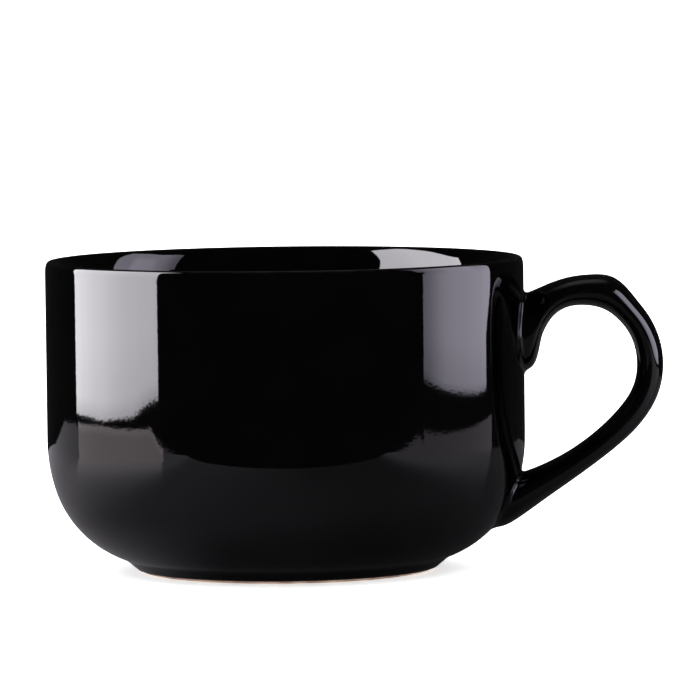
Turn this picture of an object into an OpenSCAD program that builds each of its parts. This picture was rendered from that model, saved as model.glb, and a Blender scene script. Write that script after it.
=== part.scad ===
// Soup mug: a wide cast bowl on a low foot ring, with a strap handle that rises from the wall,
// breaks over a thumb shoulder and runs down to the lower curve of the bowl.
// The axis of the bowl is Z, the table is Z = 0 and the handle points along +X.
// All sizes of the bowl and the handle are taken over the glaze.

/* [Bowl] */
// Outside diameter of the straight wall
body_d = 125; // [105:0.5:145]
// Height from the table to the crest of the rim
body_h = 81.4; // [70:0.1:110]
// Thickness of the wall, with the glaze on both sides
wall_t = 4.2; // [3.4:0.1:5.5]
// Thickness of the rounded rim, to which the wall thins
rim_t = 1.9; // [1.4:0.1:2.4]
// Height over which the inside flares out to the rim
rim_flare_h = 8; // [6:0.5:16]
// Distance by which the outside comes in to the rim
rim_ease_in = 0.3; // [0.2:0.05:0.6]
// Height over which the outside comes in to the rim
rim_ease_h = 1.6; // [1.2:0.1:4]
// Height at which the straight wall starts to curve in
curve_z = 34.6; // [31:0.1:44]
// Radius of the upper part of the lower curve
shoulder_r = 42.5; // [34:0.5:55]
// Angle that the upper part of the lower curve turns through
shoulder_a = 18.4; // [10:0.1:26]

/* [Foot] */
// Height of the foot ring under the lower curve
foot_h = 3.4; // [2.4:0.1:5]
// Distance by which the lower curve comes in from the wall to the foot ring
heel_in = 19.85; // [16:0.05:25]
// Distance by which the foot ring tapers in from the lower curve to the table
foot_in = 4.05; // [0:0.05:6]
// Width of the bare ring that stands on the table
foot_ring_w = 3.4; // [2.4:0.1:6]
// Depth of the recess inside the foot ring
recess_h = 1.5; // [0.8:0.1:2.4]
// Thickness of the base over the recess, with the glaze on both sides
base_t = 4.4; // [3.4:0.1:6]

/* [Glaze] */
// Thickness of the glaze
glaze_t = 0.4; // [0.25:0.05:0.6]
// Height of the bare clay left above the table
bare_h = 0.7; // [0.4:0.1:1.5]

/* [Handle] */
// Distance from the wall to the outside of the handle's bow
handle_reach = 36.4; // [30:0.1:44]
// Thickness of the strap along the bow
handle_t = 7; // [5:0.1:9]
// Thickness of the strap along the tail
tail_t = 6.4; // [5:0.1:9]
// Thickness of the strap at the crest
crest_t = 8; // [6:0.1:11]
// Extra thickness at the thumb shoulder
thumb_rise = 1.5; // [0:0.1:2]
// Width of the strap along the bow
handle_w = 14; // [10:0.5:20]
// Distance from the crest of the rim down to the top of the upper root
upper_root_drop = 9.9; // [7:0.1:16]
// Height of the upper root along the wall
upper_root_h = 20.2; // [14:0.1:26]
// Width of the upper root
upper_root_w = 22; // [14:0.5:27]
// Height of the lower root's top edge above the table
lower_root_z = 24.4; // [21:0.1:30]
// Height of the lower root along the curve
lower_root_h = 13.8; // [9:0.1:15]
// Width of the lower root
lower_root_w = 22; // [14:0.5:27]
// How square the strap's section is, where 2 is an ellipse
section_n = 2.1; // [2:0.1:4]

/* [Joints] */
// Thickness of the slip between the clay wall and the handle's root
slip_t = 0.8; // [0.5:0.1:1.5]
// Radius of the smoothed fillet around each root
joint_fillet = 0.8; // [0.6:0.1:3]

/* [Hidden] */
$fn = 96;

glaze_colour = [0.035, 0.035, 0.04];
clay_colour = [0.62, 0.5, 0.43];
slip_colour = [0.5, 0.4, 0.34];

// Points along each arc of the bowl's side, and around the strap's section
arc_steps = 8;
lip_steps = 8;
ease_steps = 4;
section_steps = 24;

body_r = body_d / 2;
foot_top_r = body_r - heel_in;
foot_r = foot_top_r - foot_in;
foot_in_r = foot_r - foot_ring_w;
floor_z = recess_h + base_t;
lip_r = rim_t / 2;
lip_z = body_h - lip_r;

// Lower curve: the shoulder arc leaves the straight wall, and the heel arc goes on from it
// without a break down to the top of the foot ring
function aim(a) = [cos(a), -sin(a)];
shoulder_c = [body_r - shoulder_r, curve_z];
shoulder_end = shoulder_c + shoulder_r * aim(shoulder_a);
foot_top = [foot_top_r, foot_h];
heel_run = foot_top - shoulder_end;
heel_r = -(heel_run * heel_run) / (2 * heel_run * aim(shoulder_a));
heel_c = shoulder_end - heel_r * aim(shoulder_a);
heel_a = atan2(heel_c[1] - foot_h, foot_top_r - heel_c[0]);

// Foot ring: a straight slanting side, and the corner where it meets the heel
foot_side = norm([foot_in, foot_h]);
foot_n = [foot_h, -foot_in] / foot_side;
function foot_x(z, o) = foot_r + foot_in * z / foot_h + o * foot_side / foot_h;
function foot_corner(o) = foot_top + o * (aim(heel_a) + foot_n) / (1 + aim(heel_a) * foot_n);

function arc(c, r, a0, a1, steps) =
    [for (i = [0:steps]) c + r * aim(a0 + (a1 - a0) * i / steps)];
function lip(r, a0, a1) = arc([body_r - rim_ease_in - lip_r, lip_z], r, -a0, -a1, lip_steps);
function reversed(list) = [for (i = [len(list) - 1:-1:0]) list[i]];

// Rim: a wide arc comes in from the outside and another flares out from the inside, and the small arc
// of the lip goes on from both without a break. Each wide arc moves by w over a height h.
function ease_arm(w, h) = (w ^ 2 + h ^ 2) / (2 * w);
function ease_end(w, h) = asin(h / ease_arm(w, h));
rim_flare_in = wall_t - rim_t - rim_ease_in;
flare_r = ease_arm(rim_flare_in, rim_flare_h) + lip_r;
flare_c = [body_r - wall_t + flare_r, lip_z - rim_flare_h];
flare_a = 180 - ease_end(rim_flare_in, rim_flare_h);
ease_r = ease_arm(rim_ease_in, rim_ease_h) + lip_r;
ease_c = [body_r - ease_r, lip_z - rim_ease_h];
ease_a = ease_end(rim_ease_in, rim_ease_h);

// Outside of the bowl from the foot's corner up to the rim, moved outwards by o
function outer_side(o) = concat(
    [foot_corner(o)],
    arc(heel_c, heel_r + o, heel_a - 3, shoulder_a, arc_steps),
    arc(shoulder_c, shoulder_r + o, shoulder_a * (1 - 1 / arc_steps), 0, arc_steps - 1),
    arc(ease_c, ease_r + o, 0, -ease_a * (1 - 1 / ease_steps), ease_steps - 1));

// Inside of the bowl from the rim down to the middle of the floor, moved into the wall by k.
// Its last arc goes on from the shoulder and runs out level with the floor.
inner_end = shoulder_c + (shoulder_r - wall_t) * aim(shoulder_a);
inner_r = (inner_end[1] - floor_z) / (1 - sin(shoulder_a));
inner_c = inner_end - inner_r * aim(shoulder_a);
function inner_side(k) = concat(
    arc(flare_c, flare_r - k, mix(-flare_a, -180, 1 / arc_steps), -180, arc_steps - 1),
    arc(shoulder_c, shoulder_r - wall_t + k, 0, shoulder_a, arc_steps),
    arc(inner_c, inner_r + k, shoulder_a + 4, 90, arc_steps + 2),
    [[0, floor_z - k]]);

// Radius of the outside at height z, and the angle by which its normal points down there
function wall_x(z) = z >= curve_z ? body_r
    : z >= shoulder_end[1] ? shoulder_c[0] + sqrt(shoulder_r ^ 2 - (curve_z - z) ^ 2)
    : heel_c[0] + sqrt(max(0.01, heel_r ^ 2 - (heel_c[1] - z) ^ 2));
function wall_a(z) = z >= curve_z ? 0
    : z >= shoulder_end[1] ? asin((curve_z - z) / shoulder_r)
    : asin(min(0.99, (heel_c[1] - z) / heel_r));

// Filled form of the bowl, moved outwards by o, for cutting what is stuck to the wall
module bowl_form(o) {
    rotate_extrude()
        polygon(concat([[0, foot_h]], outer_side(o), [[0, lip_z]]));
}

// Stations of the strap. Each is [outer x, outer z, inner x, inner z, half width].
upper_top_z = body_h - upper_root_drop;
upper_low_z = upper_top_z - upper_root_h;
toe_z = lower_root_z - lower_root_h;
upper_mid_z = (upper_top_z + upper_low_z) / 2;
lower_mid_z = (lower_root_z + toe_z) / 2;
bow_x = handle_reach - handle_t / 2;
function mix(a, b, t) = a + (b - a) * t;

// A station at a root: the outer and the inner end stand off the wall by given distances
function root(outer_z, outer_off, inner_z, inner_off, w) =
    [wall_x(outer_z) + outer_off, outer_z, wall_x(inner_z) + inner_off, inner_z, w / 2];

// A station of the free strap: u runs from the wall to the bow and v from the lower root to the upper
function strap(u, v, tilt, t, w) =
    let (x = body_r + u * bow_x,
         z = mix(lower_mid_z, upper_mid_z, v),
         h = [cos(tilt), sin(tilt)] * t / 2)
    [x + h[0], z + h[1], x - h[0], z - h[1], w / 2];

function upper_t(share) = mix(crest_t, upper_root_h, share);
function upper_w(share) = mix(handle_w, upper_root_w, share);
function lower_t(share) = mix(tail_t, lower_root_h, share);
function lower_w(share) = mix(handle_w, lower_root_w, share);

stations = [
    // upper root, sunk in the wall and then level with it
    root(upper_top_z - 2, -10, upper_low_z - 1.6, -9, upper_root_w),
    root(upper_top_z - 0.8, -4.5, upper_low_z - 0.4, -3, upper_root_w),
    root(upper_top_z, 0, upper_low_z + 0.3, 2.5, upper_root_w),
    // throat and rise to the crest
    strap(0.116, 1.078, 90.4, upper_t(0.69), upper_root_w),
    strap(0.196, 1.178, 77.2, upper_t(0.28), upper_root_w),
    strap(0.345, 1.248, 72, upper_t(0.015), upper_root_w),
    strap(0.52, 1.254, 80, crest_t, upper_root_w),
    // thumb shoulder
    strap(0.69, 1.243, 70, crest_t + thumb_rise, upper_w(0.95)),
    // bow
    strap(0.797, 1.149, 52, handle_t, upper_w(0.75)),
    strap(0.921, 1.048, 32, handle_t, upper_w(0.45)),
    strap(0.992, 0.906, 10, handle_t, upper_w(0.15)),
    strap(1, 0.77, -3, handle_t, handle_w),
    strap(0.965, 0.65, -18, handle_t, handle_w),
    strap(0.885, 0.545, -36, handle_t, handle_w),
    // tail
    strap(0.7575, 0.436, -49, mix(handle_t, tail_t, 0.15), lower_w(0.04)),
    strap(0.5815, 0.323, -54, tail_t, lower_w(0.13)),
    strap(0.347, 0.2, -57, lower_t(0.055), lower_w(0.31)),
    strap(0.127, 0.1065, -66, lower_t(0.25), lower_w(0.58)),
    // lower root, with a toe that stands a little proud and curls into the wall
    root(toe_z + 3, 5.3, lower_root_z + 0.4, -0.1, lower_w(0.9)),
    root(toe_z + 0.1, 3.2, lower_root_z - 1.4, -3.2, lower_root_w),
    root(toe_z - 0.4, -0.3, lower_root_z - 3.4, -7.2, lower_root_w),
    root(toe_z + 1, -6, lower_root_z - 5, -11, lower_root_w),
];
last_s = len(stations) - 3;

// Smooth curve through the stations, s from 0 to last_s
function blend(p, i, t) =
    (p[i] * (1 - t) ^ 3 + p[i + 1] * (3 * t ^ 3 - 6 * t ^ 2 + 4)
     + p[i + 2] * (3 * t + 3 * t ^ 2 - 3 * t ^ 3 + 1) + p[i + 3] * t ^ 3) / 6;
function at(s) = let (i = min(floor(s), last_s - 1)) blend(stations, i, s - i);
function power(x) = sign(x) * abs(x) ^ (2 / section_n);

// A point of the bare sweep, a turning round the section from the outer end
function bare(s, a) =
    let (r = at(s), e = power(cos(a)), q = power(sin(a)))
    [mix(r[2], r[0], (1 + e) / 2), q * r[4], mix(r[3], r[1], (1 + e) / 2)];
function unit(v) = v / max(norm(v), 0.000001);
function facing(s, a) =
    let (s0 = max(0, s - 0.05), s1 = min(last_s, s + 0.05))
    unit(cross(bare(s1, a) - bare(s0, a), bare(s, a + 3) - bare(s, a - 3)));

// Height of a fillet of radius f at distance d from the wall
function fillet(d, f) = d >= f ? 0 : f * (1 - sqrt(1 - (1 - max(0, d) / f) ^ 2));

// A point of the strap's surface, moved outwards by o, with the fillet that meets the wall
function skin(s, a, o) =
    let (n = facing(s, a),
         p = bare(s, a) + o * n,
         across = norm([p[0], p[1]]),
         tip = wall_a(p[2]),
         d = (across - wall_x(p[2])) * cos(tip) - o,
         wall_n = [p[0] / across * cos(tip), p[1] / across * cos(tip), -sin(tip)],
         along = unit(n - (n * wall_n) * wall_n))
    p + fillet(d, joint_fillet - o) * along;

// Rings of the sweep: close together in the fillets, wider along the strap
upper_s = [0.4, 0.8, 1.1, 1.25, 1.35, 1.45, 1.55, 1.65, 1.75, 1.85, 2, 2.2, 2.5, 2.8];
strap_s = [for (s = [3.1:0.4:14.4]) s];
lower_s = [14.7, 15, 15.25, 15.5, 15.7, 15.9, 16.1, 16.3, 16.5, 16.7, 16.9, 17.1, 17.3, 17.5, 17.75, 18, 18.4, 18.8];

module sweep(rings, o) {
    m = section_steps;
    n = len(rings);
    points = [for (s = rings) for (j = [0:m - 1]) skin(s, 360 * j / m, o)];
    sides = [for (i = [0:n - 2]) for (j = [0:m - 1])
        let (k = (j + 1) % m, p = i * m + j, q = i * m + k)
        each [[p, q, p + m], [q, q + m, p + m]]];
    ends = concat(
        [for (j = [1:m - 2]) [0, j + 1, j]],
        [for (j = [1:m - 2]) [(n - 1) * m, (n - 1) * m + j, (n - 1) * m + j + 1]]);
    polyhedron(points, concat(sides, ends));
}
module strap_form(o) { sweep(concat(upper_s, strap_s, lower_s), o); }

// Slip between the clay wall and one root, with the rings of that root only
module slip(rings) {
    color(slip_colour) difference() {
        intersection() {
            sweep(rings, -glaze_t);
            bowl_form(slip_t - glaze_t);
        }
        bowl_form(-glaze_t);
    }
}

module bowl() {
    color(clay_colour) rotate_extrude()
        polygon(concat(
            [[foot_in_r, 0], [foot_x(0, -glaze_t), 0]],
            outer_side(-glaze_t),
            lip(lip_r - glaze_t, ease_a, flare_a),
            inner_side(glaze_t),
            [[0, recess_h + glaze_t], [foot_in_r, recess_h + glaze_t]]));
}

module handle() {
    color(clay_colour) difference() {
        strap_form(-glaze_t);
        bowl_form(slip_t - glaze_t);
    }
}

module upper_slip_joint() { slip(concat(upper_s, [3.1])); }

module lower_slip_joint() { slip(lower_s); }

module outer_glaze() {
    color(glaze_colour) difference() {
        rotate_extrude()
            polygon(concat(
                [[foot_x(bare_h, -glaze_t), bare_h], [foot_x(bare_h, 0), bare_h]],
                outer_side(0),
                lip(lip_r, ease_a, 90),
                lip(lip_r - glaze_t, 90, ease_a),
                reversed(outer_side(-glaze_t))));
        strap_form(-glaze_t);
    }
}

module liner_glaze() {
    color(glaze_colour) rotate_extrude()
        polygon(concat(
            lip(lip_r, 90, flare_a),
            inner_side(0),
            reversed(inner_side(glaze_t)),
            lip(lip_r - glaze_t, flare_a, 90)));
}

module base_glaze() {
    color(glaze_colour)
        translate([0, 0, recess_h]) cylinder(h = glaze_t, r = foot_in_r);
}

module handle_glaze() {
    color(glaze_colour) difference() {
        strap_form(0);
        strap_form(-glaze_t);
        bowl_form(0);
    }
}

bowl();
handle();
upper_slip_joint();
lower_slip_joint();
outer_glaze();
liner_glaze();
base_glaze();
handle_glaze();
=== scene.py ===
# %% [markdown]
# A soup mug in black glaze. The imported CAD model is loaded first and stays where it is: it says how big
# the mug is and where every piece sits. This lesson then dresses it. The clay body, the skin of glaze and
# the handle are modelled smoothly in Blender, and the finishes are built from nodes.

# %% Load the frame
import math

import bmesh
import bpy
import numpy as np
from mathutils import Matrix, Vector


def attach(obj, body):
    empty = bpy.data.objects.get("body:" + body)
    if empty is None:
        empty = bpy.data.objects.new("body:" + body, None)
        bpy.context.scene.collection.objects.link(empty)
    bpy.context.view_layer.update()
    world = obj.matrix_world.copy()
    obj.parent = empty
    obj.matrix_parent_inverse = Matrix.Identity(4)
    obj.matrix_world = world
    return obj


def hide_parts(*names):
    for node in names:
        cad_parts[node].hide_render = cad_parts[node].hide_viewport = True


MM = 0.001

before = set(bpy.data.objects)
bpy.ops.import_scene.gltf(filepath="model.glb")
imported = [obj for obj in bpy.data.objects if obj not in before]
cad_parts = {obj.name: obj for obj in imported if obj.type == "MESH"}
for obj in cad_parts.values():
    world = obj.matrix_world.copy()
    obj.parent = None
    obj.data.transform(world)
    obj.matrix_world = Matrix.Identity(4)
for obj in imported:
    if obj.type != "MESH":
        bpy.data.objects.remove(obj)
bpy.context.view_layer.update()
print("CAD nodes:", sorted(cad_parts))

# %% [markdown]
# The mug's sizes are repeated here in millimetres, with names like those in the CAD source, so that every
# surface below falls on the solid that it stands for. They could be measured from the meshes of the CAD
# nodes, but drawing from the same few sizes gives cleaner curves. All of them are taken over the glaze.

# %% Sizes of the mug
BODY_R = 62.5
BODY_H = 81.4
WALL_T = 4.2
RIM_T = 1.9
RIM_FLARE_H = 8.0
RIM_EASE_IN = 0.3
RIM_EASE_H = 1.6
CURVE_Z = 34.6
SHOULDER_R = 42.5
SHOULDER_A = math.radians(18.4)
HEEL_IN = 19.85
FOOT_H = 3.4
FOOT_IN = 4.05
FOOT_RING_W = 3.4
RECESS_H = 1.5
BASE_T = 4.4
GLAZE_T = 0.4
BARE_H = 0.7

LIP_R = RIM_T / 2
LIP_Z = BODY_H - LIP_R
FOOT_TOP = Vector((BODY_R - HEEL_IN, FOOT_H))
FOOT_R = FOOT_TOP.x - FOOT_IN
FOOT_IN_R = FOOT_R - FOOT_RING_W
FLOOR_Z = RECESS_H + BASE_T
print(f"foot ring from radius {FOOT_IN_R:.2f} to {FOOT_R:.2f} mm, inner floor at {FLOOR_Z:.1f} mm")

# %% [markdown]
# The lower part of the side is two arcs that follow each other without a break, and the radius of the
# second one follows from where it has to end, at the top of the foot ring. The lip is a round bead. A wide
# arc leads up to it on each side: a short one outside, and a long one inside, where the wall flares out to
# a thin rim.

# %% Arcs of the side and the lip
def aim(angle):
    """Direction in the XZ plane that points outwards and down by an angle."""
    return Vector((math.cos(angle), -math.sin(angle)))


def ease_arm(across, height):
    """Arm of the wide arc that moves a surface across over a height, up to the lip."""
    return (across ** 2 + height ** 2) / (2 * across)


def ease_end(across, height):
    """Angle that the wide arc has turned by when it reaches the lip."""
    return math.asin(height / ease_arm(across, height))


SHOULDER_C = Vector((BODY_R - SHOULDER_R, CURVE_Z))
SHOULDER_END = SHOULDER_C + SHOULDER_R * aim(SHOULDER_A)
heel_run = FOOT_TOP - SHOULDER_END
HEEL_R = -heel_run.length_squared / (2 * heel_run.dot(aim(SHOULDER_A)))
HEEL_C = SHOULDER_END - HEEL_R * aim(SHOULDER_A)
HEEL_A = math.atan2(HEEL_C.y - FOOT_H, FOOT_TOP.x - HEEL_C.x)
INNER_END = SHOULDER_C + (SHOULDER_R - WALL_T) * aim(SHOULDER_A)
INNER_R = (INNER_END.y - FLOOR_Z) / (1 - math.sin(SHOULDER_A))
INNER_C = INNER_END - INNER_R * aim(SHOULDER_A)

RIM_FLARE_IN = WALL_T - RIM_T - RIM_EASE_IN
FLARE_R = ease_arm(RIM_FLARE_IN, RIM_FLARE_H) + LIP_R
FLARE_C = Vector((BODY_R - WALL_T + FLARE_R, LIP_Z - RIM_FLARE_H))
FLARE_A = ease_end(RIM_FLARE_IN, RIM_FLARE_H)
EASE_R = ease_arm(RIM_EASE_IN, RIM_EASE_H) + LIP_R
EASE_C = Vector((BODY_R - EASE_R, LIP_Z - RIM_EASE_H))
EASE_A = ease_end(RIM_EASE_IN, RIM_EASE_H)
LIP_C = Vector((BODY_R - RIM_EASE_IN - LIP_R, LIP_Z))
LIP_TURN = math.pi - FLARE_A - EASE_A
print(f"heel arc: radius {HEEL_R:.2f} mm, centre {HEEL_C.x:.2f}, {HEEL_C.y:.2f}")
print(f"the heel ends at {math.degrees(HEEL_A):.1f} degrees, and the lip turns {math.degrees(LIP_TURN):.1f}")

# %% [markdown]
# The photograph was taken with a long lens from a little above level. The camera is placed by the numbers
# that make the rim, the foot and the side fall where the photograph shows them: distance, height, a slight
# turn towards the handle, a little roll, and the point of the image where the middle of the mug lands.

# %% Camera
IMAGE_PX = 700
SENSOR_MM = 36.0
FOCAL_PX = 6115
VIEW_END = 100
CAMERA_DISTANCE = 1.6
CAMERA_ELEVATION = math.radians(4.537)
CAMERA_AZIMUTH = math.radians(3.0)
CAMERA_ROLL = math.radians(0.697)
AIM_POINT = Vector((0, 0, 40 * MM))
AIM_PX = (286.07, 416.2)


def make_camera():
    """Camera whose image has AIM_POINT at AIM_PX, with no lens shift."""
    az, el = CAMERA_AZIMUTH, CAMERA_ELEVATION
    away = Vector((math.sin(az) * math.cos(el), -math.cos(az) * math.cos(el), math.sin(el)))
    right = Vector((math.cos(az), math.sin(az), 0))
    up = right.cross(-away)
    c, s = math.cos(CAMERA_ROLL), math.sin(CAMERA_ROLL)
    right, up = c * right - s * up, s * right + c * up
    half = IMAGE_PX / 2
    forward = (-away * FOCAL_PX + right * (half - AIM_PX[0]) + up * (AIM_PX[1] - half)).normalized()
    right = (right - right.dot(forward) * forward).normalized()
    up = right.cross(forward)
    data = bpy.data.cameras.new("camera")
    data.sensor_width = SENSOR_MM
    data.lens = FOCAL_PX / IMAGE_PX * SENSOR_MM
    data.clip_end = VIEW_END
    camera = bpy.data.objects.new("camera", data)
    bpy.context.scene.collection.objects.link(camera)
    turn = Matrix((right, up, -forward)).transposed()
    camera.matrix_world = Matrix.Translation(AIM_POINT + away * CAMERA_DISTANCE) @ turn.to_4x4()
    bpy.context.scene.camera = camera
    return camera


camera = make_camera()
print(f"camera: {camera.data.lens:.1f} mm lens at {[round(x, 3) for x in camera.location]}")

# %% [markdown]
# Finishes are written as expressions. A small class wraps an output socket, and adding, subtracting or
# multiplying two of them adds the Math nodes. Every other node comes from one method that takes the node's
# type, its settings, and what goes into its sockets, by name or as i0, i1 and so on by number.

# %% A small class for shader maths
class Shade:
    """A socket of a node tree, with the operators that finishes need."""

    def __init__(self, tree, socket):
        self.tree = tree
        self.socket = socket

    def node(self, kind, settings=None, out=0, **sockets):
        """Adds a node, sets it up, feeds its sockets, and wraps one of its outputs."""
        made = self.tree.nodes.new(kind)
        for name, value in (settings or {}).items():
            setattr(made, name, value)
        for name, value in sockets.items():
            by_number = name[0] == "i" and name[1:].isdigit()
            key = int(name[1:]) if by_number else name.replace("_", " ")
            self.feed(made.inputs[key], value)
        return Shade(self.tree, made.outputs[out])

    def feed(self, socket, value):
        """Links a wrapped socket, or sets a plain value."""
        if isinstance(value, Shade):
            self.tree.links.new(value.socket, socket)
        else:
            socket.default_value = value

    def maths(self, operation, a, b=0.0):
        return self.node("ShaderNodeMath", {"operation": operation}, i0=a, i1=b)

    def __add__(self, other):
        return self.maths("ADD", self, other)

    __radd__ = __add__

    def __mul__(self, other):
        return self.maths("MULTIPLY", self, other)

    __rmul__ = __mul__

    def __sub__(self, other):
        return self.maths("SUBTRACT", self, other)

    def __rsub__(self, other):
        return self.maths("SUBTRACT", other, self)

    def between(self, low, high):
        """0 below low, 1 above high, and a smooth step between."""
        settings = {"interpolation_type": "SMOOTHSTEP"}
        return self.node("ShaderNodeMapRange", settings, Value=self, From_Min=low, From_Max=high)

    def past(self, soft):
        """0 where this is negative and 1 where it is positive, with a soft edge that wide on each side."""
        return self.between(-soft, soft)

    def noise(self, scale, detail=2.0, roughness=0.5):
        """Noise over the point that this socket holds."""
        sockets = {"Scale": scale, "Detail": detail, "Roughness": roughness}
        return self.node("ShaderNodeTexNoise", None, 0, Vector=self, **sockets)

    def mix(self, dark, light):
        """Colour from dark to light by this factor."""
        return self.node("ShaderNodeMix", {"data_type": "RGBA"}, 2, i0=self, i6=dark, i7=light)


def start_material(name):
    """A material with its Principled shader, and the wrapped Object coordinates."""
    material = bpy.data.materials.new(name)
    material.use_nodes = True
    tree = material.node_tree
    shader = tree.nodes["Principled BSDF"]
    place = tree.nodes.new("ShaderNodeTexCoord")
    return material, shader, Shade(tree, place.outputs["Object"])


print("shader class ready")

# %% [markdown]
# The glaze is a thick black glass that was melted on. It is almost black all through, so what is seen is
# what it mirrors, and its character lies in how clean that mirror is. A glaze is never optically flat: it
# has a fine orange peel, and a long soft waviness from how it ran. Where it thins at its lower edge, a trace
# of warm brown shows. Over the lip the same lighter brown is partly glaze that thins there and partly a
# painted highlight, a faint light line along the rim. All of this could be painted, but noise in the glaze's
# own space needs no seams and has the same scale on every piece.

# %% Black glaze
GLAZE_BLACK = (0.0002, 0.0002, 0.00025, 1)
GLAZE_GREY = (0.0004, 0.0004, 0.00045, 1)
GLAZE_BROWN_AND_LIP_HIGHLIGHT = (0.011, 0.0075, 0.006, 1)
GLAZE_IOR = 1.52
GLAZE_ROUGHNESS = 0.016
DULL_PATCHES = 0.02
# Where brown shows, in millimetres from the top of the lip and from the lower edge, and how strongly; over
# the lip it is also a painted highlight
LIP_BROWN_HIGHLIGHT_FROM = 0.8
LIP_BROWN_HIGHLIGHT_FULL = 0.05
LIP_BROWN_AND_HIGHLIGHT = 0.25
FOOT_BROWN_H = 0.7
FOOT_BROWN = 0.8
# Scales of the patterns, and the depth of the relief in metres
CLOUD_SCALE = 90.0
BROWN_SCALE = 240.0
PATCH_SCALE = 45.0
PEEL_SCALE = 1100.0
WAVE_SCALE = 52.0
PEEL_SHARE = 0.07
RELIEF_DEPTH = 0.00003


def black_glaze():
    """Almost black glass with soft waves, a fine peel, and brown where it thins, which over the lip is
    partly a painted highlight.
    """
    material, shader, place = start_material("black_glaze")
    cloud = place.noise(CLOUD_SCALE, 3.0).between(0.35, 0.7)
    height = place.node("ShaderNodeSeparateXYZ", None, 2, Vector=place)
    # Over the lip the lighter brown is partly glaze that thins there and partly a painted highlight along
    # the rim.
    lip_brown_and_highlight = height.between((BODY_H - LIP_BROWN_HIGHLIGHT_FROM) * MM, (BODY_H - LIP_BROWN_HIGHLIGHT_FULL) * MM)
    thin_foot = 1 - height.between(BARE_H * MM, (BARE_H + FOOT_BROWN_H) * MM)
    thin_brown_and_lip_highlight = lip_brown_and_highlight * LIP_BROWN_AND_HIGHLIGHT + thin_foot * FOOT_BROWN
    thin_brown_and_lip_highlight = thin_brown_and_lip_highlight * place.noise(BROWN_SCALE, 2.0).between(0.25, 0.75)
    body = cloud.mix(GLAZE_BLACK, GLAZE_GREY)
    place.feed(shader.inputs["Base Color"], thin_brown_and_lip_highlight.mix(body, GLAZE_BROWN_AND_LIP_HIGHLIGHT))
    place.feed(shader.inputs["Roughness"], GLAZE_ROUGHNESS + DULL_PATCHES * place.noise(PATCH_SCALE, 2.0))
    peel = place.noise(PEEL_SCALE, 1.0)
    wave = place.noise(WAVE_SCALE, 1.0)
    relief = peel * PEEL_SHARE + wave
    bump = place.node("ShaderNodeBump", None, 0, Height=relief, Strength=1.0, Distance=RELIEF_DEPTH)
    place.feed(shader.inputs["Normal"], bump)
    shader.inputs["IOR"].default_value = GLAZE_IOR
    return material


GLAZE = black_glaze()
print("finish:", GLAZE.name, len(GLAZE.node_tree.nodes), "nodes")

# %% [markdown]
# The foot's face is the only place where the clay shows. Fired stoneware is matt, a warm buff with darker
# grains, and a little rough to the finger. The slip that holds the handle is the same clay, fired darker,
# and it lies out of sight under the glaze. So one function makes both, from two pairs of colours.

# %% Bare clay and slip
CLAY_LIGHT = (0.50, 0.37, 0.29, 1)
CLAY_DARK = (0.27, 0.17, 0.13, 1)
CLAY_SPECK = (0.06, 0.04, 0.03, 1)
SLIP_LIGHT = (0.34, 0.25, 0.2, 1)
SLIP_DARK = (0.2, 0.14, 0.11, 1)
CLAY_ROUGHNESS = 0.72
GRAIN_ROUGHNESS = 0.2
CLAY_CLOUD_SCALE = 160.0
GRAIN_SCALE = 2600.0
SPECK_SCALE = 1400.0
GRAIN_DEPTH = 0.00006


def fired_clay(name, light, dark):
    """Matt clay with clouds of two colours, dark specks and a fine grain."""
    material, shader, place = start_material(name)
    cloud = place.noise(CLAY_CLOUD_SCALE, 4.0).between(0.3, 0.7)
    grain = place.noise(GRAIN_SCALE, 2.0)
    speck = place.noise(SPECK_SCALE, 1.0).between(0.68, 0.74)
    place.feed(shader.inputs["Base Color"], speck.mix(cloud.mix(dark, light), CLAY_SPECK))
    place.feed(shader.inputs["Roughness"], CLAY_ROUGHNESS + GRAIN_ROUGHNESS * grain)
    bump = place.node("ShaderNodeBump", None, 0, Height=grain, Strength=0.6, Distance=GRAIN_DEPTH)
    place.feed(shader.inputs["Normal"], bump)
    return material


CLAY = fired_clay("fired_clay", CLAY_LIGHT, CLAY_DARK)
SLIP = fired_clay("clay_slip", SLIP_LIGHT, SLIP_DARK)
print("finishes:", CLAY.name, SLIP.name)

# %% [markdown]
# The mug stands on a plain pale floor in a white room. A black mirror shows its surroundings, so what it
# reflects has to be arranged, as a photographer does it. The room is white for the camera and for soft light
# but nearly black in mirrors, and mirrors don't see the floor at all, so each bright shape on the glaze can
# be put there by itself. The floor also shines a little, which leaves only a faint shadow under the foot.

# %% Room and floor
ROOM_WHITE = (2.6, 2.6, 2.6, 1)
DARK = (0.012, 0.012, 0.013, 1)
FLOOR_WHITE = (0.93, 0.93, 0.93, 1)
FLOOR_GLOW = 0.5
FLOOR_ROUGHNESS = 0.8
FLOOR_SIZE = 40
FLOOR_LEVEL = -0.0001


def room():
    """White for the camera and for soft light, nearly black in mirrors."""
    world = bpy.data.worlds.new("room")
    bpy.context.scene.world = world
    world.use_nodes = True
    tree = world.node_tree
    path = tree.nodes.new("ShaderNodeLightPath")
    glossy = Shade(tree, path.outputs["Is Glossy Ray"])
    glossy.feed(tree.nodes["Background"].inputs["Color"], glossy.mix(ROOM_WHITE, DARK))


def add_plane(name, size, place=(0, 0, 0), turn=0.0):
    """A new level plane, turned about Z."""
    bpy.ops.object.select_all(action="DESELECT")
    bpy.ops.mesh.primitive_plane_add(size=size, location=place, rotation=(0, 0, turn))
    made = bpy.context.object
    made.name = name
    return made


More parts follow.
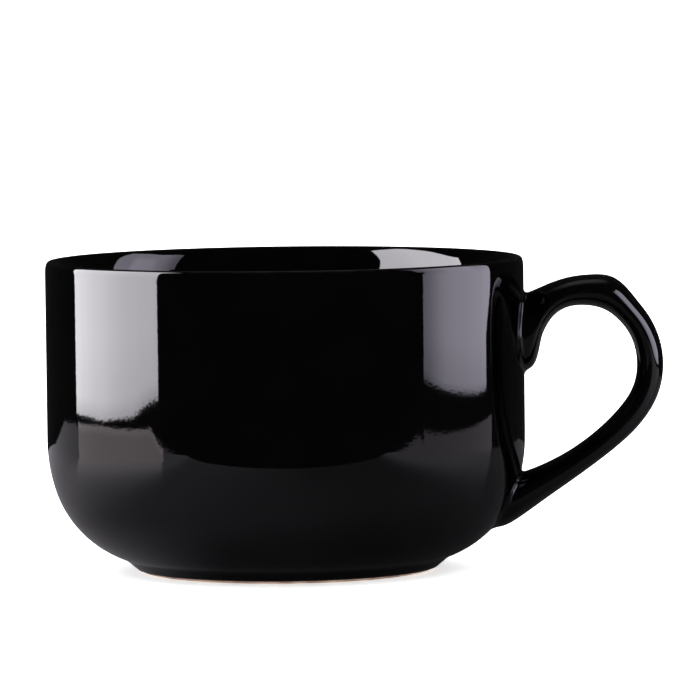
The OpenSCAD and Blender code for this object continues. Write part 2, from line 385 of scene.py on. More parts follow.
def pale_floor():
    """The floor that the camera sees, and that mirrors don't."""
    made = add_plane("floor", FLOOR_SIZE, (0, 0, FLOOR_LEVEL))
    material, shader, _ = start_material("pale_floor")
    shader.inputs["Base Color"].default_value = FLOOR_WHITE
    shader.inputs["Roughness"].default_value = FLOOR_ROUGHNESS
    shader.inputs["Emission Color"].default_value = FLOOR_WHITE
    shader.inputs["Emission Strength"].default_value = FLOOR_GLOW
    made.data.materials.append(material)
    made.visible_glossy = False


room()
pale_floor()
bpy.context.scene.view_settings.view_transform = "Standard"
print("a white room with a floor", FLOOR_SIZE, "m wide")

# %% [markdown]
# What the glaze mirrors is a set of cards: planes that shine, and that only mirrors see. Lamps could light
# the mug too, but a card has an outline, and on a black glaze that outline is what shows. Where a card isn't
# covered by its panel it is see-through, so its shape is drawn by nodes and can have soft or ragged edges.

# %% Cards that only mirrors see
CARD_OVER = 0.15
STREAK_SCALE = 9.0
SPOT_SPREAD = (117, 330, 1)
PANEL_SOFT = 0.004
BOARD_SOFT = 0.003


def glow(made, glow_at):
    """Makes a plane shine in mirrors. Its colour, and where it is there at all, follow the place."""
    material = bpy.data.materials.new(made.name)
    material.use_nodes = True
    tree = material.node_tree
    tree.nodes.remove(tree.nodes["Principled BSDF"])
    place = Shade(tree, tree.nodes.new("ShaderNodeTexCoord").outputs["Object"])
    colour, cover = glow_at(place)
    light = place.node("ShaderNodeEmission", None, 0, Color=colour, Strength=1.0)
    clear = place.node("ShaderNodeBsdfTransparent")
    light = place.node("ShaderNodeMixShader", None, 0, i0=cover, i1=clear, i2=light)
    place.feed(tree.nodes["Material Output"].inputs[0], light)
    made.data.materials.append(material)
    made.visible_camera = False
    made.visible_diffuse = False
    made.visible_shadow = False
    print("card:", made.name, len(tree.nodes), "nodes")


def axis(place, index):
    return place.node("ShaderNodeSeparateXYZ", None, index, Vector=place)


def distance(place):
    return place.node("ShaderNodeVectorMath", {"operation": "LENGTH"}, 1, i0=place)


def upright(name, front, back, top, glow_at):
    """An upright card over a line of the plan, which it runs past at both ends by the share CARD_OVER."""
    made = add_plane(name, 1)
    run = (1 + 2 * CARD_OVER) * (back - front).to_3d()
    rise = Vector((0, 0, top))
    stand = Matrix((run, rise, run.cross(rise).normalized())).transposed().to_4x4()
    stand.translation = ((front + back) / 2).to_3d() + rise / 2
    made.matrix_world = Matrix.Rotation(CAMERA_AZIMUTH, 4, "Z") @ stand
    glow(made, glow_at)


def card_place(place, top):
    """Share of the way from front to back, and height in metres, on an upright card."""
    return (axis(place, 0) + 0.5) * (1 + 2 * CARD_OVER) - CARD_OVER, (axis(place, 1) + 0.5) * top


def streaks(along):
    """Faint upright bands, from the folds of the cloth that a soft panel is covered with."""
    settings = {"noise_dimensions": "1D"}
    return along.node("ShaderNodeTexNoise", settings, 0, W=along, Scale=STREAK_SCALE, Detail=1.0)


def spots(place):
    """Fine uneven spots, stretched along the card."""
    spread = place.node("ShaderNodeVectorMath", {"operation": "MULTIPLY"}, 0, i0=place, i1=SPOT_SPREAD)
    return spread.noise(1.0, 3.0, 0.7)


def panel_on_board(panel, board):
    """Joins the colour and cover of a panel with those of the board in front of its lower edge."""
    (panel_colour, panel_cover), (board_colour, board_cover) = panel, board
    colour = board_cover.mix(panel_colour, board_colour)
    return colour, board_cover.maths("MAXIMUM", panel_cover, board_cover)


# %% [markdown]
# A large soft panel stands on each side of the mug, on a dimmer board. The left one is the brighter. Both
# stand on lines of a plan, in metres about the mug, in which the camera looks along +Y. Their outlines, and
# how their light falls off, were matched to the photograph, edge by edge.

# %% Left panel
LEFT_LIGHT = (10.0, 9.7, 10.3, 1)
LEFT_BOARD = (1.95, 1.74, 1.78, 1)
LEFT_FRONT = Vector((-0.231, -0.143))
LEFT_BACK = Vector((-0.290, 0.116))
LEFT_TOP = 0.38
LEFT_EDGE = 0.0315
LEFT_BOARD_TOP = 0.0244


def left_panel(along, height, spot):
    """Colour and cover of the panel, whose lower edge sinks towards the back and is ragged in front."""
    edge = LEFT_EDGE - 0.0045 * along.between(0.0, 0.25) - 0.002 * along.between(0.2, 0.6)
    edge = edge - 0.0028 * along.between(0.6, 1.0)
    ragged = 0.0015 + 0.006 * (1 - along.between(0.1, 0.4))
    up = height - edge + ragged * (spot - 0.5)
    level = 0.955 + 0.045 * along.between(0.2, 0.45) - 0.16 * along.between(0.5, 1.0)
    level = level * (0.96 + 0.08 * streaks(along)) * (0.93 + 0.07 * height.between(0.1, 0.2))
    foot = 0.68 * up.between(0.0, 0.001) + 0.24 * up.between(0.0, 0.007) + 0.08 * up.between(0.005, 0.025)
    front = (along + 0.036 - 0.085 * height.between(0.1, 0.27)).past(PANEL_SOFT)
    rear = (0.955 + 0.155 * height.between(0.08, 0.18) - along).past(PANEL_SOFT)
    top = (LEFT_TOP - 0.002 - 0.14 * along.between(0.35, 1.1) - height).between(0.0, 0.004)
    return (level * foot).mix(DARK, LEFT_LIGHT), front * rear * top * up.between(-0.001, 0.0)


def left_board(along, height):
    """Colour and cover of the board, which has a lighter upper edge."""
    top = LEFT_BOARD_TOP - 0.0038 * along.between(0.5, 1.0) - 0.0068 * (1 - along.between(-0.08, 0.06))
    ends = (along + 0.075).past(BOARD_SOFT) * (0.92 - along).past(BOARD_SOFT)
    level = 0.8 * (1 - 0.28 * along.between(0.1, 0.9)) + 0.2 * (height - top).between(-0.0035, -0.001)
    return level.mix(DARK, LEFT_BOARD), ends * (top - height).between(0.0, 0.0006)


def left_side(place):
    """Colour and cover of the left card."""
    along, height = card_place(place, LEFT_TOP)
    return panel_on_board(left_panel(along, height, spots(place)), left_board(along, height))


upright("left_panel", LEFT_FRONT, LEFT_BACK, LEFT_TOP, left_side)

# %% [markdown]
# The right panel is dimmer and leans in its outline: its top slopes down towards the back, and its front and
# rear edges slant. The inside of the rim and the handle's bow mirror its upper half, the wall only its foot.

# %% Right panel
RIGHT_LIGHT = (3.65, 3.44, 4.15, 1)
RIGHT_BOARD = (0.52, 0.46, 0.54, 1)
RIGHT_FRONT = Vector((0.438, -0.203))
RIGHT_BACK = Vector((0.327, 0.120))
RIGHT_TOP = 0.51
RIGHT_EDGE = 0.0207
RIGHT_BOARD_TOP = 0.0048
RIGHT_BOARD_RISE = 0.0141


def right_panel(along, height, spot):
    """Colour and cover of the panel, which is brightest in its middle."""
    edge = RIGHT_EDGE + 0.006 * along - 0.0017 * along.between(0.0, 0.75) + 0.0012 * along.between(0.75, 1.0)
    up = height - edge + 0.002 * (spot - 0.5)
    band = along.between(0.35, 0.5) * (1 - along.between(0.72, 0.82))
    high = 0.3 * band * height.between(0.1, 0.2) * (1 - height.between(0.27, 0.37))
    high = high - 0.22 * height.between(0.08, 0.25)
    level = 0.5 + 0.5 * along.between(0.0, 0.4) - 0.16 * along.between(0.5, 1.0)
    level = level * (0.97 + 0.06 * streaks(along)) * (1 + high)
    foot = 0.5 * up.between(0.0, 0.0012) + 0.3 * up.between(0.0, 0.004) + 0.2 * up.between(0.0, 0.02)
    slant = 0.08 * height.between(0.12, 0.22) - 0.1 * height.between(0.223, 0.243)
    front = (along - slant).past(PANEL_SOFT)
    rear = 0.885 + 0.07 * height.between(0.04, 0.06) + 0.05 * height.between(0.1, 0.2)
    rear = (rear - 0.12 * height.between(0.27, 0.4) - along).past(PANEL_SOFT)
    top = RIGHT_TOP - 0.05 * along.between(0.0, 0.5) - 0.1 * along
    top = (top - height).between(0.0, 0.005)
    return (level * foot).mix(DARK, RIGHT_LIGHT), front * rear * top * up.between(-0.001, 0.0)


def right_board(along, height):
    """Colour and cover of the board, which rises towards the back."""
    ends = (along + 0.012).past(BOARD_SOFT) * (0.96 - along).past(BOARD_SOFT)
    top = RIGHT_BOARD_TOP + RIGHT_BOARD_RISE * along
    return RIGHT_BOARD, ends * (top - height).between(0.0, 0.001)


def right_side(place):
    """Colour and cover of the right card."""
    along, height = card_place(place, RIGHT_TOP)
    return panel_on_board(right_panel(along, height, spots(place)), right_board(along, height))


upright("right_panel", RIGHT_FRONT, RIGHT_BACK, RIGHT_TOP, right_side)

# %% [markdown]
# The lower half of the bowl mirrors the table. It is dark, lightest on the left and beside the boards, and
# the mug's own shadow lies around the foot. Its front edge is bowed, and draws the long dark curve that runs
# across the front of the bowl.

# %% Dark table
TABLE_LIGHT = (1.26, 1.2, 1.32, 1)
TABLE_SIZE = 1.2
TABLE_LEVEL = -0.0005
TABLE_FRONT = 0.203
TABLE_LEFT = 0.495
TABLE_RIGHT = 0.38


def table_outline(x, y):
    """1 on the table and 0 past its edges."""
    aside = x.maths("ABSOLUTE", x)
    bow = x.maths("MINIMUM", 1.15 * x * x, 0.107)
    front = (y + TABLE_FRONT + bow).past(0.004) * (y + 0.468 - 0.48 * aside).past(0.004)
    back = 1 - y.between(0.335, 0.347)
    ends = (x + TABLE_LEFT - 0.048 * y.between(0.23, 0.345)).past(0.006)
    ends = ends * (TABLE_RIGHT - 0.344 * y - x).past(0.004)
    return front * back * ends


def table_level(x, y, reach, left_front, right_rear):
    """How light the table is: the middle, and what each side adds."""
    left = (0 - x).between(0.06, 0.2) * (1 - 0.82 * y.between(-0.09, 0.11)) * (0.3 + 0.7 * left_front)
    left = left * (0.8 * y - x).between(0.01, 0.075) * (1 - 0.12 * reach.between(0.2, 0.4))
    right = x.between(0.07, 0.22) * (1 - 0.45 * y.between(-0.06, 0.085)) * (1 - 0.7 * right_rear)
    right = right * (0.8 * y + x).between(0.0, 0.1)
    middle = 0.09 * (1 - 0.5 * x.between(0.03, 0.08) * y.between(-0.05, 0.02))
    return middle + 0.145 * (0 - x).between(-0.06, 0.12) + 0.85 * left + 0.36 * right


def table_shadow(x, reach):
    """Share of the light that is left in the mug's shadow, which is weaker on the left."""
    shadow = 0.12 + 0.88 * reach.between(0.04, 0.075)
    shadow = shadow + 0.7 * (0 - x).between(0.015, 0.05) * (1 - reach.between(0.05, 0.075))
    shadow = shadow * (1 - 0.4 * x.between(0.0, 0.03) * (1 - reach.between(0.05, 0.1)))
    return shadow * (1 - 0.12 * reach.between(0.045, 0.055) * (1 - reach.between(0.065, 0.09)))


def table_top(place):
    """Colour and cover of the table, which also takes light from the two boards."""
    x, y = axis(place, 0), axis(place, 1)
    reach = distance(place)
    # Lines from the mug past the ends of the boards, each 1 behind its line
    left_front = (0.876 * y - 0.482 * x + 0.0284).past(0.003)
    left_rear = (0.385 * x + 0.923 * y + 0.022).past(0.003)
    right_rear = (0.9 * y - 0.434 * x + 0.051).past(0.004)
    level = table_level(x, y, reach, left_front, right_rear)
    table = (0.8 * level * table_shadow(x, reach)).mix(DARK, TABLE_LIGHT)
    by_left = 0.42 * (0 - x).between(0.12, 0.26) * left_front * (1 - left_rear)
    by_right = x.between(0.2, 0.36) * (1 - right_rear)
    table = by_right.mix(by_left.mix(table, LEFT_BOARD), RIGHT_BOARD)
    return table_outline(x, y).mix(DARK, table), 1.0


glow(add_plane("dark_table", TABLE_SIZE, (0, 0, TABLE_LEVEL), CAMERA_AZIMUTH), table_top)

# %% [markdown]
# A dim soft light overhead, behind the mug, draws a fine line along the lip and the top of the handle. It is
# a card like the others, round and fading outwards, so that it leaves no edge on the glaze.

# %% Overhead light
CEILING_PLACE = (0, 0.6, 0.8)
CEILING_SIZE = 0.9
CEILING_LIGHT = (0.2, 0.2, 0.21, 1)
CEILING_FULL = 0.1


def ceiling_glow(place):
    """Colour and cover of the overhead light, which fades outwards."""
    fade = 1 - distance(place).between(CEILING_FULL, CEILING_SIZE / 2)
    return fade.mix(DARK, CEILING_LIGHT), 1.0


glow(add_plane("soft_ceiling", CEILING_SIZE, CEILING_PLACE), ceiling_glow)

# %% [markdown]
# Round pieces are made as a potter's template would make them: half of the section is drawn point by point
# and then spun about the axis. A plane is collapsed to one vertex, straight runs are extruded from it, and
# arcs are spun from its end. The section could be a list of points, but drawn this way each run and arc of
# the real shape is one line to read.

# %% Helpers for drawing a section
TURN_STEPS = 160
WELD = 1e-7


def mark(flat):
    """A point of the XZ plane, given in millimetres, in metres in space."""
    return Vector((flat[0] * MM, 0, flat[1] * MM))


def pen():
    """Where the one selected vertex is."""
    mesh = bmesh.from_edit_mesh(bpy.context.object.data)
    return next(v for v in mesh.verts if v.select).co.copy()


def start_section(name, flat):
    """A new object in edit mode with one selected vertex."""
    bpy.ops.object.select_all(action="DESELECT")
    bpy.ops.mesh.primitive_plane_add(size=MM, enter_editmode=True)
    bpy.context.object.name = name
    bpy.ops.mesh.select_mode(type="VERT")
    bpy.ops.mesh.select_all(action="SELECT")
    bpy.ops.mesh.merge(type="CENTER")
    bpy.ops.transform.translate(value=mark(flat) - pen())


def run_to(flat, steps=1):
    """Extrudes a straight run in equal steps."""
    step = (mark(flat) - pen()) / steps
    for _ in range(steps):
        bpy.ops.mesh.extrude_vertices_move(TRANSFORM_OT_translate={"value": step})


def arc_to(centre, degrees, steps):
    """Spins an arc about a centre. Positive angles turn from the wall down towards the foot."""
    bpy.ops.mesh.spin(steps=steps, angle=-math.radians(degrees), center=mark(centre), axis=(0, 1, 0))


def soften(flat, width, steps):
    """Rounds one corner of the section that is being drawn, where glaze pools."""
    bpy.ops.mesh.select_all(action="DESELECT")
    mesh = bmesh.from_edit_mesh(bpy.context.object.data)
    corner = min(mesh.verts, key=lambda v: (v.co - mark(flat)).length)
    corner.select = True
    mesh.select_flush_mode()
    bmesh.update_edit_mesh(bpy.context.object.data)
    bpy.ops.mesh.bevel(offset=width * MM, segments=steps, affect="VERTICES")


def spin_section():
    """Spins the whole section about the axis of the bowl, and closes and turns the faces outwards."""
    bpy.ops.mesh.select_all(action="SELECT")
    bpy.ops.mesh.spin(steps=TURN_STEPS, angle=2 * math.pi, center=(0, 0, 0), axis=(0, 0, 1))
    bpy.ops.mesh.select_all(action="SELECT")
    bpy.ops.mesh.remove_doubles(threshold=WELD)
    bpy.ops.mesh.normals_make_consistent(inside=False)
    bpy.ops.object.mode_set(mode="OBJECT")
    return bpy.context.object


print("sections are spun in", TURN_STEPS, "steps")

# %% [markdown]
# Every piece is finished the same way. Its modifiers are applied, so that the mesh itself has the shape, and
# then it gets its material, rides on the mug's one body, and hides the CAD nodes that it stands for.

# %% Helpers that finish a piece
def apply_modifier(piece, kind, **settings):
    """Adds a modifier with its settings and applies it."""
    modifier = piece.modifiers.new(kind.lower(), kind)
    for name, value in settings.items():
        setattr(modifier, name, value)
    bpy.ops.object.modifier_apply(modifier=modifier.name)


def smooth_below(degrees):
    """Shades the active piece smooth, but keeps edges that turn by more than an angle."""
    bpy.ops.object.shade_smooth_by_angle(angle=math.radians(degrees))


def dress(piece, material, slot, *nodes):
    """Gives a finished piece its material and body, and hides the nodes it stands for. The slot is not used.
    """
    piece.data.materials.clear()
    piece.data.materials.append(material)
    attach(piece, "root")
    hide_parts(*nodes)
    low = [round(min(v.co[i] for v in piece.data.vertices) / MM, 2) for i in range(3)]
    high = [round(max(v.co[i] for v in piece.data.vertices) / MM, 2) for i in range(3)]
    print(piece.name, len(piece.data.polygons), "faces, from", low, "to", high)


# %% [markdown]
# The skin of glaze on the bowl is one sheet on the real mug: it starts just above the foot's face, climbs
# the outside, runs over the lip without a seam and covers the inside. Drawing it as one line and spinning
# that line gives a surface whose reflections run on unbroken. Solidify then gives it its thickness, inwards.

# %% Glaze of the bowl
FOOT_POOL_W = 1.1


def foot_x(z, inset=0.0):
    """Radius of the foot ring's slanting side at a height."""
    slant = math.hypot(FOOT_IN, FOOT_H) / FOOT_H
    return FOOT_R + FOOT_IN * z / FOOT_H - inset * slant


def glaze_skin():
    """The glaze from the foot over the lip to the middle of the floor."""
    start_section("bowl_skin", (foot_x(BARE_H), BARE_H))
    run_to(FOOT_TOP, 3)
    arc_to(HEEL_C, math.degrees(SHOULDER_A - HEEL_A), 26)
    arc_to(SHOULDER_C, -math.degrees(SHOULDER_A), 10)
    # Short faces at both ends of the straight wall keep its shading flat
    run_to((BODY_R, CURVE_Z + 1), 2)
    run_to((BODY_R, EASE_C.y - 1), 9)
    run_to((BODY_R, EASE_C.y), 2)
    arc_to(EASE_C, -math.degrees(EASE_A), 8)
    arc_to(LIP_C, -math.degrees(LIP_TURN), 20)
    arc_to(FLARE_C, -math.degrees(FLARE_A), 14)
    run_to((BODY_R - WALL_T, CURVE_Z), 6)
    arc_to(SHOULDER_C, math.degrees(SHOULDER_A), 8)
    arc_to(INNER_C, 90 - math.degrees(SHOULDER_A), 26)
    run_to((0, FLOOR_Z), 8)
    soften(FOOT_TOP, FOOT_POOL_W, 6)
    piece = spin_section()
    bpy.ops.object.shade_smooth()
    apply_modifier(piece, "SOLIDIFY", thickness=GLAZE_T * MM, offset=-1, use_even_offset=True)
    smooth_below(40)
    return piece


bowl_skin = glaze_skin()
dress(bowl_skin, GLAZE, "black_glaze", "outer_glaze", "liner_glaze")

# %% [markdown]
# The clay body under the glaze shows only at the foot. A ring there would do for the picture, but it is made
# whole, as it was cast, so that the mesh can be used by itself. The ring has its real section: a flat face
# with softened edges, and the shallow recess inside it.

# %% Clay body
# Size of the softened edges of the ring's face, and the points in their middle
FOOT_EDGE = 0.35
INNER_EDGE_MIDDLE = (0.1, 0.1)
OUTER_EDGE_MIDDLE = (0.08, 0.06)
# Where the foot's side ends below the heel in millimetres, and where the heel starts in degrees
HEEL_GAP = 0.2
HEEL_LEAD = 1


def clay_body():
    """The closed clay body, by the thickness of the glaze inside the outer sizes."""
    inset = GLAZE_T
    start_section("bowl_body", (0, RECESS_H + inset))
    run_to((FOOT_IN_R, RECESS_H + inset), 6)
    run_to((FOOT_IN_R, FOOT_EDGE), 2)
    run_to((FOOT_IN_R + INNER_EDGE_MIDDLE[0], INNER_EDGE_MIDDLE[1]))
    run_to((FOOT_IN_R + FOOT_EDGE, 0))
    run_to((foot_x(0, inset) - FOOT_EDGE, 0), 3)
    run_to((foot_x(0, inset) - OUTER_EDGE_MIDDLE[0], OUTER_EDGE_MIDDLE[1]))
    run_to((foot_x(FOOT_EDGE, inset), FOOT_EDGE))
    run_to((foot_x(FOOT_H - HEEL_GAP, inset), FOOT_H - HEEL_GAP), 3)
    run_to(HEEL_C + (HEEL_R - inset) * aim(HEEL_A - math.radians(HEEL_LEAD)))
    arc_to(HEEL_C, math.degrees(SHOULDER_A - HEEL_A) + HEEL_LEAD, 16)
    arc_to(SHOULDER_C, -math.degrees(SHOULDER_A), 6)
    run_to((BODY_R - inset, EASE_C.y), 6)
    arc_to(EASE_C, -math.degrees(EASE_A), 5)
    arc_to(LIP_C, -math.degrees(LIP_TURN), 12)
    arc_to(FLARE_C, -math.degrees(FLARE_A), 8)
    run_to((BODY_R - WALL_T + inset, CURVE_Z), 4)
    arc_to(SHOULDER_C, math.degrees(SHOULDER_A), 6)
    arc_to(INNER_C, 90 - math.degrees(SHOULDER_A), 14)
    run_to((0, FLOOR_Z - inset), 6)
    piece = spin_section()
    smooth_below(50)
    return piece


bowl_body = clay_body()
dress(bowl_body, CLAY, "bare_clay", "bowl")

# %% [markdown]
# Inside the foot ring lies a pool of the same glaze. It climbs a little where it meets the ring, as a liquid
# does, so its edge is a soft curve and not a flat cut.

# %% Glaze in the recess
# The pool's edge: its width, the radius of its curve and its turn in degrees, and its rim on the ring
POOL_W = 1.2
POOL_R = 0.6
POOL_TURN = 40
POOL_EDGE = 0.35


def recess_glaze():
    """The closed pool of glaze, seen from below."""
    start_section("recess_skin", (0, RECESS_H))
    run_to((FOOT_IN_R - POOL_W, RECESS_H), 8)
    arc_to((FOOT_IN_R - POOL_W, RECESS_H - POOL_R), POOL_TURN, 6)
    run_to((FOOT_IN_R, pen().z / MM - POOL_EDGE))
    run_to((FOOT_IN_R, RECESS_H + GLAZE_T))
    run_to((0, RECESS_H + GLAZE_T), 8)
    piece = spin_section()
    smooth_below(40)
    return piece


recess_skin = recess_glaze()
dress(recess_skin, GLAZE, "black_glaze", "base_glaze")

# %% [markdown]
# The handle is a strap whose section changes all along its way: tall where it grows out of the wall, thin
# over the crest, thicker under the thumb, narrow round the bow, and tall again at its toe. It has the sizes
# of the CAD source. Each root's place is found from the outside of the bowl, so that it sits in the wall.

# %% Sizes of the handle
HANDLE_REACH = 36.4
HANDLE_T = 7.0
TAIL_T = 6.4
CREST_T = 8.0
THUMB_RISE = 1.5
HANDLE_W = 14.0
UPPER_ROOT_DROP = 9.9
UPPER_ROOT_H = 20.2
UPPER_ROOT_W = 22.0
LOWER_ROOT_Z = 24.4
LOWER_ROOT_H = 13.8
LOWER_ROOT_W = 22.0
SECTION_N = 2.1
JOINT_FILLET = 0.8


def wall_x(z):
    """Radius of the outside of the bowl at a height, kept in range below the heel."""
    if z >= CURVE_Z:
        return BODY_R
    if z >= SHOULDER_END.y:
        return SHOULDER_C.x + math.sqrt(SHOULDER_R ** 2 - (CURVE_Z - z) ** 2)
    return HEEL_C.x + math.sqrt(max(0.01, HEEL_R ** 2 - (HEEL_C.y - z) ** 2))


def blend(a, b, share):
    return a + (b - a) * share


UPPER_TOP = BODY_H - UPPER_ROOT_DROP
UPPER_LOW = UPPER_TOP - UPPER_ROOT_H
TOE_Z = LOWER_ROOT_Z - LOWER_ROOT_H
UPPER_MID = (UPPER_TOP + UPPER_LOW) / 2
LOWER_MID = (LOWER_ROOT_Z + TOE_Z) / 2
BOW_X = HANDLE_REACH - HANDLE_T / 2
print(f"upper root from {UPPER_LOW:.1f} to {UPPER_TOP:.1f} mm high")
print(f"lower root from {TOE_Z:.1f} to {LOWER_ROOT_Z:.1f} mm high")

# %% [markdown]
# The strap is described by stations, as in the CAD source. A station has an outer end, an inner end and half
# a width. On the free strap it is placed by shares of the reach and of the height between the roots, with a
# tilt and a thickness, and at a root by how far its two ends stand off the wall.

# %% Stations of the handle
def root(outer_z, outer_off, inner_z, inner_off, width):
    """Station at a root, whose two ends stand off the wall by given distances."""
    return np.array((wall_x(outer_z) + outer_off, outer_z, wall_x(inner_z) + inner_off, inner_z, width / 2))


def strap(out, up, tilt, thick, width):
    """Station of the free strap, by shares of the reach and of the height between the roots."""
    x, z = BODY_R + out * BOW_X, blend(LOWER_MID, UPPER_MID, up)
    dx, dz = math.cos(math.radians(tilt)) * thick / 2, math.sin(math.radians(tilt)) * thick / 2
    return np.array((x + dx, z + dz, x - dx, z - dz, width / 2))


def upper_t(share):
    return blend(CREST_T, UPPER_ROOT_H, share)


def upper_w(share):
    return blend(HANDLE_W, UPPER_ROOT_W, share)


def lower_t(share):
    return blend(TAIL_T, LOWER_ROOT_H, share)


def lower_w(share):
    return blend(HANDLE_W, LOWER_ROOT_W, share)


STATIONS = [
    # upper root, sunk in the wall and then level with it
    root(UPPER_TOP - 2, -10, UPPER_LOW - 1.6, -9, UPPER_ROOT_W),
    root(UPPER_TOP - 0.8, -4.5, UPPER_LOW - 0.4, -3, UPPER_ROOT_W),
    root(UPPER_TOP, 0, UPPER_LOW + 0.3, 2.5, UPPER_ROOT_W),
    # throat and rise to the crest
    strap(0.116, 1.078, 90.4, upper_t(0.69), UPPER_ROOT_W),
    strap(0.196, 1.178, 77.2, upper_t(0.28), UPPER_ROOT_W),
    strap(0.345, 1.248, 72, upper_t(0.015), UPPER_ROOT_W),
    strap(0.52, 1.254, 80, CREST_T, UPPER_ROOT_W),
    # thumb shoulder
    strap(0.69, 1.243, 70, CREST_T + THUMB_RISE, upper_w(0.95)),
    # bow
    strap(0.797, 1.149, 52, HANDLE_T, upper_w(0.75)),
    strap(0.921, 1.048, 32, HANDLE_T, upper_w(0.45)),
    strap(0.992, 0.906, 10, HANDLE_T, upper_w(0.15)),
    strap(1, 0.77, -3, HANDLE_T, HANDLE_W),
    strap(0.965, 0.65, -18, HANDLE_T, HANDLE_W),
    strap(0.885, 0.545, -36, HANDLE_T, HANDLE_W),
    # tail
    strap(0.7575, 0.436, -49, blend(HANDLE_T, TAIL_T, 0.15), lower_w(0.04)),
    strap(0.5815, 0.323, -54, TAIL_T, lower_w(0.13)),
    strap(0.347, 0.2, -57, lower_t(0.055), lower_w(0.31)),
    strap(0.127, 0.1065, -66, lower_t(0.25), lower_w(0.58)),
    # lower root, with a toe that stands a little proud and curls into the wall
    root(TOE_Z + 3, 5.3, LOWER_ROOT_Z + 0.4, -0.1, lower_w(0.9)),
    root(TOE_Z + 0.1, 3.2, LOWER_ROOT_Z - 1.4, -3.2, LOWER_ROOT_W),
    root(TOE_Z - 0.4, -0.3, LOWER_ROOT_Z - 3.4, -7.2, LOWER_ROOT_W),
    root(TOE_Z + 1, -6, LOWER_ROOT_Z - 5, -11, LOWER_ROOT_W),
]
print(len(STATIONS), "stations")

# %% [markdown]
# A smooth curve runs near the stations, and the handle's cage takes its rings from it. They lie closer
# together at the roots, where the fillets need fine faces. A subdivision surface pulls in from its cage
# where the cage bends, so each ring is first pushed out by as much.

# %% Rings of the cage
LAST_S = len(STATIONS) - 3
UPPER_S = [0.2 + 0.2 * k for k in range(12)]
STRAP_S = [2.7 + 0.75 * k for k in range(16)]
LOWER_S = [14.5 + 0.24 * k for k in range(19)]


def station_at(s):
    """The cubic B-spline that the stations draw, s from 0 to LAST_S."""
    i = min(int(s), LAST_S - 1)
    t = s - i
    weights = ((1 - t) ** 3, 3 * t ** 3 - 6 * t ** 2 + 4, 3 * t + 3 * t ** 2 - 3 * t ** 3 + 1, t ** 3)
    return sum(w * STATIONS[i + k] for k, w in enumerate(weights)) / 6


on_curve = [station_at(s) for s in UPPER_S + STRAP_S + LOWER_S]
cage = [on_curve[0]]
for before, here, after in zip(on_curve, on_curve[1:], on_curve[2:]):
    cage.append(here + (here - (before + after) / 2) / 3)
cage.append(on_curve[-1])
print(len(cage), "rings in the handle's cage")

# %% [markdown]
# The first ring is a circle whose slanting points are pushed out a little, so that the section is a
# slightly squared oval. It is then extruded from place to place. A turn with transform.rotate is given its
# centre, and it goes the other way with no window, which the helper allows for. Before a ring is sized it
# is turned back level, so that thickness and width are scaled along X and Y, and then it is tilted again.

# %% Cage of the handle
RING_POINTS = 12
ROUND_LEVELS = 3
# A subdivision surface draws in from its cage, and this brings the section back to size
end_pull = (4 + 2 * math.cos(2 * math.pi / RING_POINTS) ** (2 / SECTION_N)) / 6


def square_up(x):
    return math.copysign(abs(x) ** (2 / SECTION_N), x) / end_pull


def ring_middle(row):
    return Vector(((row[0] + row[2]) / 2 * MM, 0, (row[1] + row[3]) / 2 * MM))


def ring_tilt(row):
    return math.atan2(row[1] - row[3], row[0] - row[2])


def ring_size(row):
    return math.hypot(row[0] - row[2], row[1] - row[3]) / 2 * MM, row[4] * MM


def turn_ring(angle, middle):
    """Turns the selected ring so that its X axis goes up by an angle."""
    bpy.ops.transform.rotate(value=angle, orient_axis="Y", center_override=middle)


def start_ring(name):
    """A new object in edit mode with the first ring, one metre in radius and all selected."""
    bpy.ops.object.select_all(action="DESELECT")
    bpy.ops.mesh.primitive_circle_add(vertices=RING_POINTS, radius=1, enter_editmode=True)
    piece = bpy.context.object
    piece.name = name
    mesh = bmesh.from_edit_mesh(piece.data)
    for v in mesh.verts:
        v.co = (square_up(round(v.co.x, 6)), square_up(round(v.co.y, 6)), 0)
    bmesh.update_edit_mesh(piece.data)
    bpy.ops.mesh.select_all(action="SELECT")
    return piece


def extrude_rings():
    """Extrudes the selected ring through the cage, and sizes and turns it at each place."""
    middle, tilt, size = Vector((0, 0, 0)), 0.0, (1.0, 1.0)
    for k, row in enumerate(cage):
        step = ring_middle(row) - middle
        if k:
            bpy.ops.mesh.extrude_region_move(TRANSFORM_OT_translate={"value": step})
        else:
            bpy.ops.transform.translate(value=step)
        middle = ring_middle(row)
        turn_ring(-tilt, middle)
        wanted = ring_size(row)
        grow = (wanted[0] / size[0], wanted[1] / size[1], 1)
        bpy.ops.transform.resize(value=grow, center_override=middle)
        tilt, size = ring_tilt(row), wanted
        turn_ring(tilt, middle)


def handle_cage():
    """The strap as a cage of rings, made round by a subdivision surface."""
    piece = start_ring("handle_skin")
    extrude_rings()
    mesh = bmesh.from_edit_mesh(piece.data)
    outer = mark(cage[-1][:2])
    miss = min((v.co - outer).length for v in mesh.verts if v.select)
    print("last ring is off by", round(miss / MM, 3), "mm from its station")
    bpy.ops.mesh.select_all(action="SELECT")
    bpy.ops.mesh.normals_make_consistent(inside=False)
    bpy.ops.object.mode_set(mode="OBJECT")
    apply_modifier(piece, "SUBSURF", levels=ROUND_LEVELS, render_levels=ROUND_LEVELS)
    return piece


handle_skin = handle_cage()
print("handle:", len(handle_skin.data.vertices), "vertices")

# %% [markdown]
# Where the handle meets the wall, the potter smooths the slip into a small hollow fillet, and the glaze
# follows it and pools there a little. A bevel would need the handle and the wall to be one mesh, and they
# are two pieces. So each point close to the wall is moved outwards along the wall, by the height that a
# quarter circle has there. For this, a point's distance from the wall has to be known.

# %% Distance from the wall
GLAZE_POOL = 0.35
FILLET_R = JOINT_FILLET + GLAZE_POOL


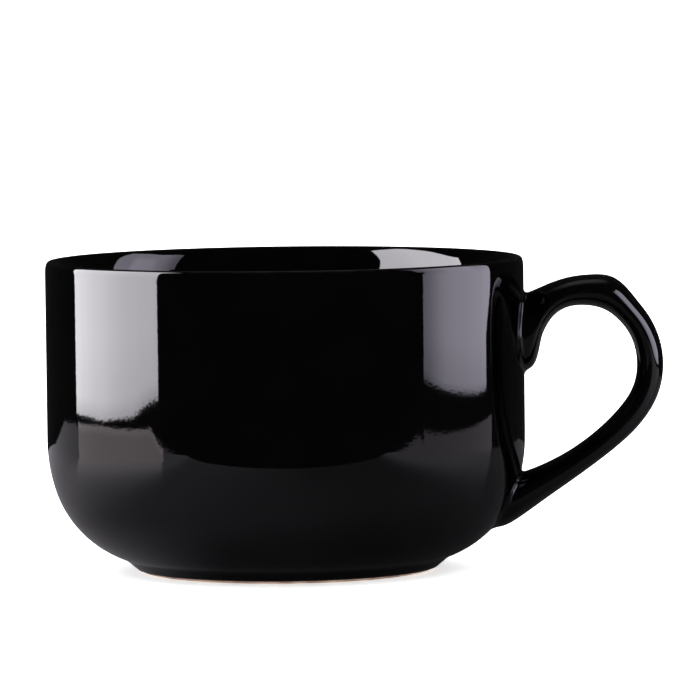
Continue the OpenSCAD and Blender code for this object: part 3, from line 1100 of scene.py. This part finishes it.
def wall_tilt(z):
    """Angle by which the wall's normal points down at a height, kept in range below the heel."""
    if z >= CURVE_Z:
        return 0.0
    if z >= SHOULDER_END.y:
        return math.asin((CURVE_Z - z) / SHOULDER_R)
    return math.asin(min(0.99, (HEEL_C.y - z) / HEEL_R))


def off_wall(point):
    """Distance of a point in millimetres from the wall, and the wall's outward normal there."""
    across = math.hypot(point.x, point.y)
    tip = wall_tilt(point.z)
    off = (across - wall_x(point.z)) * math.cos(tip)
    normal = Vector((point.x / across * math.cos(tip), point.y / across * math.cos(tip), -math.sin(tip)))
    return off, normal


def fillet_height(off):
    """How far the fillet has climbed at a distance from the wall."""
    if off >= FILLET_R:
        return 0.0
    return FILLET_R * (1 - math.sqrt(1 - (1 - max(0.0, off) / FILLET_R) ** 2))


print("fillets of", FILLET_R, "mm at the roots")

# %% [markdown]
# The fillets are drawn, and the part of the strap that lies inside the wall is deleted. Points just under
# the wall's surface are kept, so that the skin dips into the wall and no gap shows between them. Solidify
# then makes the sheet a skin.

# %% Fillets at the roots
SUNK = 0.25
NO_SLOPE = 1e-6


def draw_fillets(piece):
    """Moves the points near the wall into a fillet. Returns which points lie inside the wall."""
    points = [v.co / MM for v in piece.data.vertices]
    normals = [Vector(n.vector) for n in piece.data.vertex_normals]
    inside = []
    for v, point, normal in zip(piece.data.vertices, points, normals):
        off, wall_normal = off_wall(point)
        along_wall = normal - normal.dot(wall_normal) * wall_normal
        if along_wall.length > NO_SLOPE:
            point = point + fillet_height(off) * along_wall.normalized()
        v.co = point * MM
        inside.append(off < -SUNK)
    return inside


def delete_points(piece, chosen):
    """Deletes the points of a piece that are chosen, with their faces."""
    bpy.ops.object.mode_set(mode="EDIT")
    bpy.ops.mesh.select_mode(type="VERT")
    bpy.ops.mesh.select_all(action="DESELECT")
    mesh = bmesh.from_edit_mesh(piece.data)
    mesh.verts.ensure_lookup_table()
    for v, picked in zip(mesh.verts, chosen):
        v.select = picked
    mesh.select_flush_mode()
    bmesh.update_edit_mesh(piece.data)
    bpy.ops.mesh.delete(type="VERT")
    bpy.ops.object.mode_set(mode="OBJECT")
    print("deleted", sum(chosen), "vertices inside the wall")


delete_points(handle_skin, draw_fillets(handle_skin))
apply_modifier(handle_skin, "SOLIDIFY", thickness=GLAZE_T * MM, offset=-1)
smooth_below(60)
dress(handle_skin, GLAZE, "black_glaze", "handle_glaze")

# %% [markdown]
# The handle's clay and the two joints of slip stay as the CAD made them. The glaze covers them all over,
# so they only need their finish.

# %% Pieces that stay from the CAD
for name, material in (("handle", CLAY), ("upper_slip_joint", SLIP), ("lower_slip_joint", SLIP)):
    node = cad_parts[name]
    node.data.materials.clear()
    node.data.materials.append(material)
    print(name, "gets", material.name)
